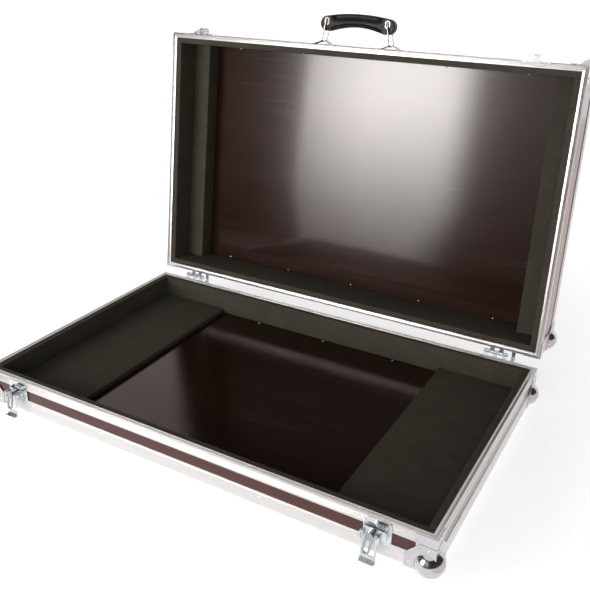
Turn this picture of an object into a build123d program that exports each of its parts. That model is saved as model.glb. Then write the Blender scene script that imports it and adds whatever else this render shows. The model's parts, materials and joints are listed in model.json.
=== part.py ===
from build123d import *
import math
import os

# Keyboard flight case with its lid open. Millimetres, Z up, the front faces -Y.
# Each shell is first laid out with its rim in the plane z = 0 and its depth along +Z,
# its rear outer face in the plane y = 0 and its front outer face at y = -case_depth.

# Case
case_width = 890.0
case_depth = 543.4
base_height = 62.5
lid_height = 102.0
rim_gap = 0.5
open_angle = 96.2

# Walls and their metal
panel = 7.0
metal = 1.0
rim_web = 3.4
closing_leg = 17.5
closing_lip = 12.0
edge_wall_leg = 25.0
edge_face_leg = 28.0
corner_leg = 30.0
mitre_gap = 0.2
tongue_width = 2.0
tongue_height = 1.6
groove_clear = 1.0
groove_extra = 0.6

# Foam
lining = 12.0
lining_drop = 1.5
rest_thickness = 11.0
rest_width = 163.0
bar_thickness = 38.0
bar_width = 40.0

# Ball corners and rim braces
ball_radius = 23.0
ball_inset = 11.0
ball_chamfer = 21.5
ball_plate = 1.5
ball_brace_gap = 0.5
brace_plate = 1.2
brace_leg = 30.0
brace_drop = 1.0
brace_height = 16.0

# Rivets
rivet_radius = 2.5
rivet_height = 1.2
tail_radius = 1.8
tail_height = 0.9
rivet_pitch = 162.5
rivet_end = 60.0
rivet_wall_inset = 16.5
rivet_face_inset = 24.5
ball_rivet_end = 7.0
ball_rivet_near = 9.0
brace_rivet_far = 20.0
leaf_rivet_low = 7.8
leaf_rivet_high = 20.8
leaf_rivet_side = 5.0

# Hinges
hinge_inset = 82.5
hinge_width = 45.0
hinge_knuckles = 5
knuckle_gap = 0.4
pivot_out = 11.07
pivot_up = 4.47
barrel_radius = 4.0
pin_radius = 2.0
pin_fit = 0.02
pin_running = 0.06
pin_head = 1.5
pin_head_radius = 3.0
leaf_plate = 2.0
leaf_height = 26.0
leaf_drop = 1.0
lid_leaf_start = 8.0
stop_start = 8.0
stop_width = 7.0
finger_below = 1.5
finger_reach = 8.0
stop_gap = 0.3
stop_depth = 5.0

# Latch plate, boss and strap
latch_inset = 87.0
plate_width = 44.0
plate_top = 3.5
plate_height = 38.0
plate_metal = 1.5
plate_corner = 5.0
key_x = -5.0
key_drop = 23.0
boss_radius = 6.0
boss_length = 6.7
strap_half = 16.5
strap_foot = 2.0
strap_height = 14.0
strap_metal = 1.5
slide_clear = 0.4
latch_rivet_x = 19.2
latch_rivet_radius = 2.2

# Latch key
shaft_radius = 3.0
shaft_fit = 0.05
cam_radius = 4.8
cam_plate = 0.9
cam_pin_radius = 1.5
key_gap = 0.3
hub_length = 4.0
wing_radius = 6.0
wing_length = 34.0
wing_start = 10.0
wing_wall = 2.8
wing_metal = 3.0
wing_tilt = 10.0
key_turn = 80.0

# Draw block and hook arm
draw_travel = 4.0
draw_metal = 2.1
draw_half = 14.0
draw_top = 14.0
draw_bottom = 36.0
ear_height = 5.0
ear_width = 2.5
ear_clear = 0.5
ear_top = 3.0
slot_clear = 0.15
arm_x = -7.5
arm_width = 25.0
arm_leg = 3.0
arm_metal = 2.0
arm_out = 10.5
arm_drop = 27.0
eye_radius = 3.0
eye_pin = 1.5
eye_fit = 0.05
arm_window = 32.5
arm_length = 43.5
lip_reach = 6.0
lip_metal = 2.0
arm_rest_tilt = 6.0
arm_up_tilt = 11.0

# Latch spring
spring_start = 2.0
spring_length = 13.0
spring_turns = 7
spring_wire = 1.0
spring_radius = 3.0
spring_out = 5.6
spring_drop = 9.5
spring_post = 2.1
post_ear = 1.5

# Keeper
keeper_x = -2.0
keeper_width = 56.0
keeper_metal = 1.5
keeper_start = 1.0
keeper_height = 15.5
lug_width = 22.0
lug_out = 14.5
lug_thickness = 4.5
lug_play = 0.4

# Handle
handle_x = -16.0
handle_at = 46.0
foot_pitch = 150.0
bar_pitch = 134.0
wire_radius = 1.6
foot_out = 6.0
bar_out = 50.3
leg_side = 11.2
ring_bend = 3.5
clip_length = 53.0
clip_width = 16.0
clip_metal = 1.5
clip_hump = 28.0
clip_top = 9.5
clip_channel = 2.0
grip_web = 16.0
grip_band = 24.0
lobe_radius = 15.0
lobe_out = 43.0
arch_half = 59.0
under_mid = 38.0
under_end = 28.0
top_half = 67.0
top_mid = 64.0
top_end = 58.0
band_half = 55.0
band_height = 10.0
band_round = 3.5
lip_height = 5.0
lip_round = 2.0
eyelet_hole_width = 6.5
eyelet_hole_height = 11.5
eyelet_wall = 1.0
eyelet_flange = 1.2
eyelet_flange_metal = 1.0
eyelet_play = 0.8

# Sizes that follow from the ones above
half_width = case_width / 2
rim_width = metal + panel + metal
inner_face = rim_width + lining
ball_leg = base_height - brace_drop - brace_height - ball_brace_gap
ball_rivet_far = ball_leg - ball_rivet_end
rim_z = ball_radius - ball_inset + base_height
lid_z = rim_z + rim_gap
pivot_y = pivot_out
pivot_z = rim_z + pivot_up
key_angle = key_turn / 2
cam_throw = draw_travel / (2 * math.sin(math.radians(key_angle)))
strap_out = plate_metal + slide_clear + draw_metal + key_gap + cam_plate + key_gap
boss_end = strap_out + strap_metal + boss_length
arm_range = 180.0 - arm_rest_tilt - arm_up_tilt
hook_height = (arm_length - lip_metal) * math.cos(math.radians(arm_up_tilt)) - arm_drop
lug_top = hook_height - draw_travel - lug_play
eyelet_out = bar_out + wire_radius + eyelet_play - eyelet_hole_height / 2


def block(x0, x1, y0, y1, z0, z1):
    """A box between pairs of planes."""
    middle = Pos((x0 + x1) / 2, (y0 + y1) / 2, (z0 + z1) / 2)
    return middle * Box(abs(x1 - x0), abs(y1 - y0), abs(z1 - z0))


def rod(start, end, radius):
    """A cylinder between two points."""
    plane = Plane(origin=start, z_dir=Vector(*end) - Vector(*start))
    length = (Vector(*end) - Vector(*start)).length
    return plane * Cylinder(radius, length, align=(Align.CENTER, Align.CENTER, Align.MIN))


def group(pieces):
    """Several separate solids kept as one node."""
    return Compound([solid for piece in pieces for solid in piece.solids()])


def side_profile(points, x0, x1):
    """A closed outline of (y, z) points, extruded along X from x0 to x1."""
    outline = [(x0, y, z) for y, z in points]
    return extrude(make_face(Polyline(*outline, close=True)), amount=x1 - x0, dir=(1, 0, 0))


def band(outer, inner, z0, z1):
    """A frame round the case between two distances in from its outer faces."""
    whole = block(-half_width + outer, half_width - outer, -case_depth + outer, -outer, z0, z1)
    middle = block(-half_width + inner, half_width - inner, -case_depth + inner, -inner, z0, z1)
    return whole - middle


def mitred(frame, reach):
    """Cut a frame into its front, rear, left and right lengths with a hairline gap at each mitre."""
    west = -half_width
    east = half_width
    front = -case_depth
    low = front + mitre_gap
    high = -mitre_gap
    plans = [
        [(west, front), (east, front), (east - reach, front + reach), (west + reach, front + reach)],
        [(west, 0), (east, 0), (east - reach, -reach), (west + reach, -reach)],
        [(west, low), (west, high), (west + reach, high - reach), (west + reach, low + reach)],
        [(east, low), (east, high), (east - reach, high - reach), (east - reach, low + reach)],
    ]
    tall = 2 * lid_height
    lengths = []
    for plan in plans:
        face = make_face(Polyline(*plan, close=True))
        lengths.append(frame & Pos(0, 0, -lid_height / 2) * extrude(face, amount=tall, dir=(0, 0, 1)))
    return group(lengths)


def at_corners(piece):
    """A piece made for the corner at +X and the rear, repeated at all four corners."""
    right = [Pos(half_width, 0, 0) * piece]
    front = mirror(piece, about=Plane.XZ)
    right.append(Pos(half_width, -case_depth, 0) * front)
    return right + [mirror(one, about=Plane.YZ) for one in right]


def closing_frame(is_base):
    """The channel round the rim, with a groove in the base and a tongue in the lid."""
    frame = band(0, rim_width, 0, rim_web)
    frame += band(0, metal, rim_web, closing_leg)
    frame += band(rim_width - metal, rim_width, rim_web, closing_lip)
    tongue_from = (rim_width - tongue_width) / 2
    tongue_to = (rim_width + tongue_width) / 2
    if is_base:
        cut_depth = tongue_height + groove_extra
        frame -= band(tongue_from - groove_clear, tongue_to + groove_clear, 0, cut_depth)
    else:
        frame += band(tongue_from, tongue_to, -tongue_height, 0)
    return mitred(frame, rim_width)


def edge_angles(height):
    """The angle along the four edges between the walls and the closed face."""
    frame = band(0, edge_face_leg, height - metal, height)
    frame += band(0, metal, height - edge_wall_leg, height - metal)
    return mitred(frame, edge_face_leg)


def corner_angles(height):
    """The upright angles between the rim and the edge angle."""
    z0 = closing_leg
    z1 = height - edge_wall_leg
    angle = block(-corner_leg, 0, -corner_leg, 0, z0, z1)
    angle -= block(-corner_leg, -metal, -corner_leg, -metal, z0, z1)
    return group(at_corners(angle))


def ball_corner(height):
    """A pressed ball corner: a ball that laps the corner, and three chamfered legs."""
    ball = Pos(-ball_inset, -ball_inset, -ball_inset) * Sphere(ball_radius)
    far = ball_leg
    lap = ball_leg - ball_chamfer
    t = ball_plate
    outline = [(t, t), (-far, t), (-far, -lap), (-lap, -far), (t, -far)]
    leg = make_face(Polyline(*outline, close=True))
    corner = ball + extrude(Plane.XY * leg, amount=t, dir=(0, 0, 1))
    corner += extrude(Plane.XZ * leg, amount=t, dir=(0, 1, 0))
    corner += extrude(Plane.YZ * leg, amount=t, dir=(1, 0, 0))
    corner -= block(-2 * far, 0, -2 * far, 0, -2 * far, 0)
    return Pos(0, 0, height) * corner


def rim_brace():
    """The small bent plate over the closing frame at each corner."""
    z0 = brace_drop
    z1 = brace_drop + brace_height
    brace = block(-brace_leg, brace_plate, -brace_leg, brace_plate, z0, z1)
    return brace - block(-brace_leg, 0, -brace_leg, 0, z0, z1)


def dome(point, normal, radius, height):
    """A low rivet head on a face."""
    sphere_radius = (radius ** 2 + height ** 2) / (2 * height)
    cap = Pos(0, 0, height - sphere_radius) * Sphere(sphere_radius)
    cap &= Cylinder(2 * radius, height, align=(Align.CENTER, Align.CENTER, Align.MIN))
    return Plane(origin=point, z_dir=normal) * cap


def spread(length):
    """Rivet places along an edge, at one pitch and centred."""
    count = int((length - 2 * rivet_end) // rivet_pitch) + 1
    return [(index - (count - 1) / 2) * rivet_pitch for index in range(count)]


def edge_rivets(height, bare_from, bare_to):
    """Heads on both legs of the edge angle, and tails inside where no foam covers them."""
    heads = []
    wall_z = height - rivet_wall_inset
    inside_z = height - metal - panel
    middle_y = -case_depth / 2
    for x in spread(case_width):
        for wall_y, toward in ((-case_depth, -1), (0, 1)):
            row_y = wall_y - toward * rivet_face_inset
            heads.append(dome((x, wall_y, wall_z), (0, toward, 0), rivet_radius, rivet_height))
            heads.append(dome((x, row_y, height), (0, 0, 1), rivet_radius, rivet_height))
            if bare_from < x < bare_to:
                heads.append(dome((x, row_y, inside_z), (0, 0, -1), tail_radius, tail_height))
    for y in spread(case_depth):
        for toward in (-1, 1):
            wall_x = toward * half_width
            row_x = wall_x - toward * rivet_face_inset
            place = middle_y + y
            heads.append(dome((wall_x, place, wall_z), (toward, 0, 0), rivet_radius, rivet_height))
            heads.append(dome((row_x, place, height), (0, 0, 1), rivet_radius, rivet_height))
    return heads


def corner_rivets(height):
    """Heads on the ball corners and the rim braces."""
    top = height + ball_plate
    out = ball_plate
    far = -ball_rivet_far
    near = -ball_rivet_near
    brace_z = brace_drop + brace_height / 2
    places = [((far, near, top), (0, 0, 1)), ((near, far, top), (0, 0, 1))]
    places += [((far, out, height + near), (0, 1, 0)), ((near, out, height + far), (0, 1, 0))]
    places += [((out, far, height + near), (1, 0, 0)), ((out, near, height + far), (1, 0, 0))]
    places += [((-brace_rivet_far, brace_plate, brace_z), (0, 1, 0))]
    places += [((brace_plate, -brace_rivet_far, brace_z), (1, 0, 0))]
    heads = []
    for point, normal in places:
        heads += at_corners(dome(point, normal, rivet_radius, rivet_height))
    return heads


def shell_panels(height):
    """The five panels of one shell, in the order face, front, rear, left, right."""
    inside = height - metal - panel
    in0 = metal
    in1 = metal + panel
    x1 = half_width
    y1 = -case_depth
    face = block(-x1 + in0, x1 - in0, y1 + in0, -in0, inside, height - metal)
    front = block(-x1 + in0, x1 - in0, y1 + in0, y1 + in1, rim_web, inside)
    rear = block(-x1 + in0, x1 - in0, -in1, -in0, rim_web, inside)
    left = block(-x1 + in0, -x1 + in1, y1 + in1, -in1, rim_web, inside)
    right = block(x1 - in1, x1 - in0, y1 + in1, -in1, rim_web, inside)
    return face, front, rear, left, right


def shell_linings(height):
    """The foam on the four walls, in the order front, rear, left, right."""
    inside = height - metal - panel
    x0 = half_width - rim_width
    x1 = half_width - inner_face
    y0 = -case_depth + rim_width
    y1 = -case_depth + inner_face
    front = block(-x0, x0, y0, y1, lining_drop, inside)
    rear = block(-x0, x0, -inner_face, -rim_width, lining_drop, inside)
    left = block(-x0, -x1, y1, -inner_face, lining_drop, inside)
    right = block(x1, x0, y1, -inner_face, lining_drop, inside)
    return front, rear, left, right


def shell(name, face_name, height, is_base):
    """Every piece that the base and the lid have alike."""
    face, front, rear, left, right = shell_panels(height)
    pieces = {
        name + "_" + face_name + "_panel": face,
        name + "_front_panel": front,
        name + "_rear_panel": rear,
        name + "_left_panel": left,
        name + "_right_panel": right,
        name + "_closing_profiles": closing_frame(is_base),
        name + "_edge_angles": edge_angles(height),
        name + "_corner_angles": corner_angles(height),
        name + "_ball_corners": group(at_corners(ball_corner(height))),
        name + "_corner_braces": group(at_corners(rim_brace())),
    }
    sides = ("front", "rear", "left", "right")
    for side, foam in zip(sides, shell_linings(height)):
        pieces[name + "_foam_" + side] = foam
    return pieces


def leaf_rivets(toward_depth):
    """Heads on a hinge leaf, as places from the hinge's middle and the rim."""
    start = leaf_drop if toward_depth < 0 else lid_leaf_start - pivot_up
    across = hinge_width / 2 - leaf_rivet_side
    heads = []
    for x in (-across, across):
        for along in (leaf_rivet_low, leaf_rivet_high):
            heads.append(dome((x, leaf_plate, start + along), (0, 1, 0), rivet_radius, rivet_height))
    return heads


def knuckles(first, bore):
    """Every second knuckle of the barrel, round the pivot line."""
    pitch = hinge_width / hinge_knuckles
    rings = []
    for index in range(first, hinge_knuckles, 2):
        x0 = -hinge_width / 2 + index * pitch + knuckle_gap / 2
        x1 = x0 + pitch - knuckle_gap
        rings.append((x0, x1, rod((x0, 0, 0), (x1, 0, 0), barrel_radius)))
    hole = rod((-hinge_width, 0, 0), (hinge_width, 0, 0), bore)
    return rings, hole


def leaf_arm(x0, x1, root_z):
    """A strap from the leaf's end to the barrel."""
    root = (-pivot_out + leaf_plate / 2, root_z)
    angle = math.atan2(root[1], root[0])
    side_y = -math.sin(angle) * leaf_plate / 2
    side_z = math.cos(angle) * leaf_plate / 2
    points = [(side_y, side_z), (-side_y, -side_z)]
    points += [(root[0] - side_y, root[1] - side_z), (root[0] + side_y, root[1] + side_z)]
    return side_profile(points, x0, x1)


def flank_y(z):
    """Where the open stop finger's flank stands at a height from the pivot."""
    turn = math.radians(open_angle)
    along = -(z + finger_below * math.cos(turn)) / math.sin(turn)
    return along * math.cos(turn) - finger_below * math.sin(turn)


def base_leaf():
    """The fixed hinge leaf with its stop, from the pivot line."""
    top = -pivot_up - leaf_drop
    stop_x = hinge_width / 2 + stop_start
    face_y = -pivot_out
    leaf = block(-hinge_width / 2, stop_x + stop_width, face_y, face_y + leaf_plate, top - leaf_height, top)
    rings, hole = knuckles(0, pin_radius + pin_fit)
    for x0, x1, ring in rings:
        leaf += ring + leaf_arm(x0, x1, top - leaf_plate)
    leaf -= hole
    shift = stop_gap / math.sin(math.radians(open_angle))
    points = [(face_y, top), (flank_y(top) - shift, top)]
    points += [(flank_y(top - stop_depth) - shift, top - stop_depth), (face_y, top - stop_depth)]
    return leaf + side_profile(points, stop_x, stop_x + stop_width)


def lid_leaf():
    """The moving hinge leaf with its stop finger, lid closed, from the pivot line."""
    start = lid_leaf_start
    stop_x = hinge_width / 2 + stop_start
    face_y = -pivot_out
    plate_y = face_y + leaf_plate
    leaf = block(-hinge_width / 2, stop_x + stop_width, face_y, plate_y, start, start + leaf_height)
    rings, hole = knuckles(1, pin_radius + pin_running)
    for x0, x1, ring in rings:
        leaf += ring + leaf_arm(x0, x1, start + leaf_plate)
    leaf -= hole
    finger = block(stop_x, stop_x + stop_width, face_y, finger_reach, -finger_below, finger_below)
    neck = block(stop_x, stop_x + stop_width, face_y, plate_y, -finger_below, start)
    return leaf + finger + neck


def hinge_pin():
    """The pin through the knuckles, with a head at each end."""
    end = hinge_width / 2
    pin = rod((-end, 0, 0), (end, 0, 0), pin_radius)
    for x in (-end - pin_head, end):
        pin += rod((x, 0, 0), (x + pin_head, 0, 0), pin_head_radius)
    return pin


def hook_pivot():
    """The hook arm's pivot from the latch's origin on the rim line of the front face."""
    return Vector(0, -arm_out, -arm_drop)


def latch_plate():
    """The fixed plate with its strap, boss and spring post. Y runs into the case."""
    half = plate_width / 2
    bottom = -plate_top - plate_height
    plate = block(-half, half, -plate_metal, 0, bottom, -plate_top)
    plate = fillet(plate.edges().filter_by(Axis.Y), plate_corner)
    low = -key_drop - strap_height / 2
    high = -key_drop + strap_height / 2
    strap_front = strap_out + strap_metal
    plate += block(-strap_half, strap_half, -strap_front, -strap_out, low, high)
    for x in (-strap_half, strap_half - strap_foot):
        plate += block(x, x + strap_foot, -strap_out, -plate_metal, low, high)
    plate += rod((key_x, -strap_front, -key_drop), (key_x, -boss_end, -key_drop), boss_radius)
    bore = rod((key_x, -strap_out, -key_drop), (key_x, -boss_end, -key_drop), shaft_radius + shaft_fit)
    plate -= bore
    end = spring_start + spring_length
    for x in (spring_start - post_ear, end):
        low = -spring_drop - spring_post - spring_wire
        high = -spring_drop + spring_post + spring_wire
        front = -spring_out - spring_post - spring_wire
        plate += block(x, x + post_ear, front, -plate_metal, low, high)
    start = (spring_start, -spring_out, -spring_drop)
    return plate + rod(start, (end, -spring_out, -spring_drop), spring_post)


def latch_rivets():
    """Heads that hold the latch plate."""
    places = [(-latch_rivet_x, -spring_drop), (-latch_rivet_x, -key_drop)]
    places += [(latch_rivet_x, -key_drop), (latch_rivet_x, -draw_bottom)]
    heads = []
    for x, z in places:
        heads.append(dome((x, -plate_metal, z), (0, -1, 0), latch_rivet_radius, rivet_height))
    return heads


def latch_key():
    """The turning key: cam pin, cam plate, shaft, hub and looped wing."""
    angle = math.radians(key_angle)
    pin_x = key_x + cam_throw * math.cos(angle)
    pin_z = -key_drop + cam_throw * math.sin(angle)
    cam_back = plate_metal + slide_clear + draw_metal + key_gap
    cam_front = cam_back + cam_plate
    hub_back = boss_end + key_gap
    hub_front = hub_back + hub_length
    key = rod((pin_x, -plate_metal - key_gap, pin_z), (pin_x, -cam_back, pin_z), cam_pin_radius)
    key += rod((key_x, -cam_back, -key_drop), (key_x, -cam_front, -key_drop), cam_radius)
    key += rod((key_x, -cam_front, -key_drop), (key_x, -hub_back, -key_drop), shaft_radius)
    key += rod((key_x, -hub_back, -key_drop), (key_x, -hub_front, -key_drop), boss_radius)
    reach = wing_length - wing_radius
    wing = loop_plate(wing_radius, 0, reach) - loop_plate(wing_radius - wing_wall, wing_start, reach)
    wing -= Cylinder(boss_radius, 4 * wing_metal)
    flat = Pos(key_x, -hub_front, -key_drop) * Rot(0, wing_tilt, 0) * Rot(90, 0, 0) * wing
    return key + Pos(0, wing_metal, 0) * flat


def loop_plate(radius, start, end):
    """A round-ended plate that hangs along -Y of its sketch, wing_metal thick."""
    face = Pos(0, -(start + end) / 2) * SlotCenterToCenter(end - start, radius * 2, rotation=90)
    return extrude(face, amount=wing_metal, dir=(0, 0, 1))


def latch_draw():
    """The block that the cam draws down, with ears that carry the hook arm."""
    back = plate_metal + slide_clear
    front = back + draw_metal
    ear_x0 = arm_x - arm_width / 2 - ear_clear
    ear_x1 = arm_x + arm_width / 2 + ear_clear
    shoulder = -draw_bottom + ear_height
    draw = block(-draw_half, draw_half, -front, -back, -draw_bottom, -draw_top)
    draw += block(ear_x0 - ear_width, draw_half, -front, -back, -draw_bottom, shoulder)
    ear_front = arm_out + eye_radius
    ear_back = arm_out - eye_radius
    ear_high = -arm_drop + ear_top
    points = [(-back, -draw_bottom), (-ear_front, -draw_bottom), (-ear_front, ear_high)]
    points += [(-ear_back, ear_high), (-ear_back, shoulder), (-back, shoulder)]
    pivot = hook_pivot()
    for x0, x1, inner in ((ear_x0 - ear_width, ear_x0, arm_leg), (ear_x1, ear_x1 + ear_width, -arm_leg)):
        draw += side_profile(points, x0, x1)
        root = x1 if inner > 0 else x0
        tip = root + inner + math.copysign(ear_clear, inner)
        draw += rod((root, pivot.Y, pivot.Z), (tip, pivot.Y, pivot.Z), eye_pin)
    angle = math.radians(key_angle)
    slot_z = -key_drop + cam_throw * math.sin(angle)
    slot_half = cam_pin_radius + slot_clear
    slot_x0 = key_x + cam_throw * math.cos(angle) - cam_pin_radius - key_gap
    slot_x1 = key_x + cam_throw + cam_pin_radius + key_gap
    return draw - block(slot_x0, slot_x1, -front, -back, slot_z - slot_half, slot_z + slot_half)


def latch_hook():
    """The windowed hook arm, hanging at rest with its lip turned outward."""
    x0 = arm_x - arm_width / 2
    x1 = arm_x + arm_width / 2
    half = arm_metal / 2
    arm = block(x0, x1, -half, half, -arm_length, 0)
    arm -= block(x0 + arm_leg, x1 - arm_leg, -half, half, -arm_window, 0)
    arm += block(x0, x1, -half - lip_reach, -half, -arm_length, -arm_length + lip_metal)
    for x in (x0, x1 - arm_leg):
        arm += rod((x, 0, 0), (x + arm_leg, 0, 0), eye_radius)
        arm -= rod((x, 0, 0), (x + arm_leg, 0, 0), eye_pin + eye_fit)
    pivot = hook_pivot()
    return Pos(0, pivot.Y, pivot.Z) * Rot(-arm_rest_tilt, 0, 0) * arm


def helix_point(turn, pitch):
    """A point of the spring's centre line and its direction, after so many turns."""
    angle = 2 * math.pi * turn
    rise = 2 * math.pi * spring_radius
    point = Vector(pitch * turn, spring_radius * math.cos(angle), spring_radius * math.sin(angle))
    heading = Vector(pitch, -rise * math.sin(angle), rise * math.cos(angle))
    return point, heading.normalized()


def biarc(p0, t0, p1, t1):
    """Two tangent arcs between two points with given directions."""
    chord = p1 - p0
    both = t0 + t1
    spare = 2 * (1 - t0.dot(t1))
    run = (-chord.dot(both) + math.sqrt(chord.dot(both) ** 2 + spare * chord.dot(chord))) / spare
    middle = (p0 + p1 + (t0 - t1) * run) * 0.5
    heading = ((p1 - t1 * run) - (p0 + t0 * run)).normalized()
    return [Edge.make_tangent_arc(p0, t0, middle), Edge.make_tangent_arc(middle, heading, p1)]


def latch_spring():
    """A wound torsion spring on the plate's post, one unbroken wire."""
    span = spring_length - 2 * spring_wire
    pitch = span / spring_turns
    quarters = 4 * spring_turns
    edges = []
    for index in range(quarters):
        p0, t0 = helix_point(index / 4, pitch)
        p1, t1 = helix_point((index + 1) / 4, pitch)
        edges += biarc(p0, t0, p1, t1)
    first, heading = helix_point(0, pitch)
    last, leaving = helix_point(spring_turns, pitch)
    edges.insert(0, Edge.make_line(first - heading * spring_wire, first))
    edges.append(Edge.make_line(last, last + leaving * spring_wire))
    path = Wire(edges)
    start = Plane(origin=first - heading * spring_wire, z_dir=heading)
    coil = sweep(start * Circle(spring_wire / 2), path=path)
    print("spring turns", spring_turns, "gap between turns", round(spring_least_gap(pitch), 3))
    return Pos(spring_start + spring_wire, -spring_out, -spring_drop) * coil


def spring_least_gap(pitch):
    """The least gap of the wire to itself, measured between points over half a turn apart."""
    per_turn = 24
    points = [helix_point(index / per_turn, pitch)[0] for index in range(per_turn * spring_turns + 1)]
    least = math.inf
    for index, point in enumerate(points):
        for other in points[index + per_turn // 2:]:
            least = min(least, (other - point).length)
    return least - spring_wire


def keeper():
    """The lid's catch plate and the lug that the hook arm pulls on, from the lid's rim."""
    x0 = keeper_x - keeper_width / 2
    x1 = keeper_x + keeper_width / 2
    plate = block(x0, x1, -keeper_metal, 0, keeper_start, keeper_start + keeper_height)
    plate = fillet(plate.edges().filter_by(Axis.Y), keeper_metal * 2)
    top = lug_top - rim_gap
    left = arm_x - lug_width / 2
    lug = block(left, left + lug_width, -lug_out, -keeper_metal, top - lug_thickness, top)
    return plate + lug


def keeper_rivets():
    """Heads at the ends of the catch plate."""
    z = keeper_start + keeper_height / 2
    inset = keeper_width / 2 - 3 * latch_rivet_radius
    heads = []
    for x in (keeper_x - inset, keeper_x + inset):
        heads.append(dome((x, -keeper_metal, z), (0, -1, 0), latch_rivet_radius, rivet_height))
    return heads


def handle_clip():
    """A humped clip over the ring's foot, in the handle's own plane: X along, Y outward."""
    half = clip_length / 2
    foot = clip_metal - metal
    hump = clip_hump / 2
    under = [(half, foot), (half, -metal), (-half, -metal), (-half, foot)]
    outline = Polyline((hump, foot), *under, (-hump, foot))
    arch = ThreePointArc((-hump, foot), (0, clip_top), (hump, foot))
    clip = extrude(make_face([outline, arch]), amount=clip_width / 2, both=True)
    wide = 2 * clip_width
    clip -= Pos(0, foot_out, 0) * Cylinder(clip_channel, wide)
    return clip - block(-clip_channel, clip_channel, -metal, foot_out, -wide, wide)


def clip_rivets():
    """Heads on the clip's feet."""
    place = (clip_length + clip_hump) / 4
    foot = clip_metal - metal
    return [dome((x, foot, 0), (0, 1, 0), latch_rivet_radius, rivet_height) for x in (-place, place)]


def handle_ring(side):
    """A bent wire ring from the clip to the grip's eyelet, its foot at the origin."""
    lean = side * (bar_pitch - foot_pitch) / 2
    rise = bar_out - foot_out
    corners = [(0, 0, -leg_side), (0, 0, leg_side), (lean, rise, leg_side), (lean, rise, -leg_side)]
    path = FilletPolyline(*corners, radius=ring_bend, close=True)
    start = Plane(origin=(lean / 2, rise / 2, leg_side), z_dir=(lean, rise, 0))
    ring_path = Wire(path.edges())
    return sweep(start * Circle(wire_radius), path=ring_path)


def arch_face(mid, end, half, height, flat_half):
    """The strip between two like arcs, one above the other by height, cut off at flat_half."""
    low = ThreePointArc((-half, end), (0, mid), (half, end))
    high = ThreePointArc((-half, end + height), (0, mid + height), (half, end + height))
    sides = [Line((-half, end), (-half, end + height)), Line((half, end), (half, end + height))]
    strip = make_face([low, high] + sides)
    return strip & Rectangle(2 * flat_half, 4 * (mid + height))


def handle_grip():
    """The moulded grip: web and end lobes, a thick top band and a lower lip."""
    low = ThreePointArc((-arch_half, under_end), (0, under_mid), (arch_half, under_end))
    high = ThreePointArc((-top_half, top_end), (0, top_mid), (top_half, top_end))
    left = Line((-arch_half, under_end), (-top_half, top_end))
    right = Line((arch_half, under_end), (top_half, top_end))
    web_face = make_face([low, high, left, right])
    for side in (-1, 1):
        web_face += Pos(side * bar_pitch / 2, lobe_out) * Circle(lobe_radius)
    grip = extrude(web_face, amount=grip_web / 2, both=True)
    top = arch_face(top_mid - band_height, top_end - band_height, top_half, band_height, band_half)
    lip = arch_face(under_mid, under_end, arch_half, lip_height, band_half)
    for face, rounding in ((top, band_round), (lip, lip_round)):
        strip = extrude(face, amount=grip_band / 2, both=True)
        long_edges = strip.edges().filter_by(GeomType.CIRCLE)
        grip += fillet(long_edges, rounding)
    tall = eyelet_hole_height + 2 * eyelet_wall
    wide = eyelet_hole_width + 2 * eyelet_wall
    hole = SlotOverall(tall, wide, rotation=90)
    for side in (-1, 1):
        grip -= extrude(Pos(side * bar_pitch / 2, eyelet_out) * hole, amount=grip_band, both=True)
    return grip


def eyelet(side):
    """An oval metal eyelet through the grip's web, flanged on both faces."""
    tall = eyelet_hole_height
    wide = eyelet_hole_width
    wall = 2 * eyelet_wall
    rim = wall + 2 * eyelet_flange
    tube = extrude(SlotOverall(tall + wall, wide + wall, rotation=90), amount=grip_web / 2, both=True)
    flange = extrude(SlotOverall(tall + rim, wide + rim, rotation=90), amount=eyelet_flange_metal)
    for z in (grip_web / 2, -grip_web / 2 - eyelet_flange_metal):
        tube += Pos(0, 0, z) * flange
    tube -= extrude(SlotOverall(tall, wide, rotation=90), amount=grip_web, both=True)
    return Pos(side * bar_pitch / 2, eyelet_out, 0) * tube


def fitting_places():
    """Where the handle, hinges, latches and keepers stand with the lid closed."""
    hinge_x = half_width - hinge_inset
    latch_x = half_width - latch_inset
    return {
        "handle": Pos(handle_x, -case_depth, lid_z + handle_at) * Rot(180, 0, 0),
        "hinges": [Pos(side * hinge_x, pivot_y, pivot_z) for side in (-1, 1)],
        "latches": [Pos(side * latch_x, -case_depth, rim_z) for side in (-1, 1)],
        "keepers": [Pos(side * latch_x, -case_depth, lid_z) for side in (-1, 1)],
    }


def to_base(piece):
    """Turn a shell piece over so that its depth runs down from the base's rim."""
    return Pos(0, 0, rim_z) * mirror(piece, about=Plane.XY)


def opened(piece):
    """Swing a piece of the closed lid about the hinge line to its open rest."""
    pivot = Pos(0, pivot_y, pivot_z)
    return pivot * Rot(-open_angle, 0, 0) * pivot.inverse() * piece


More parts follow.
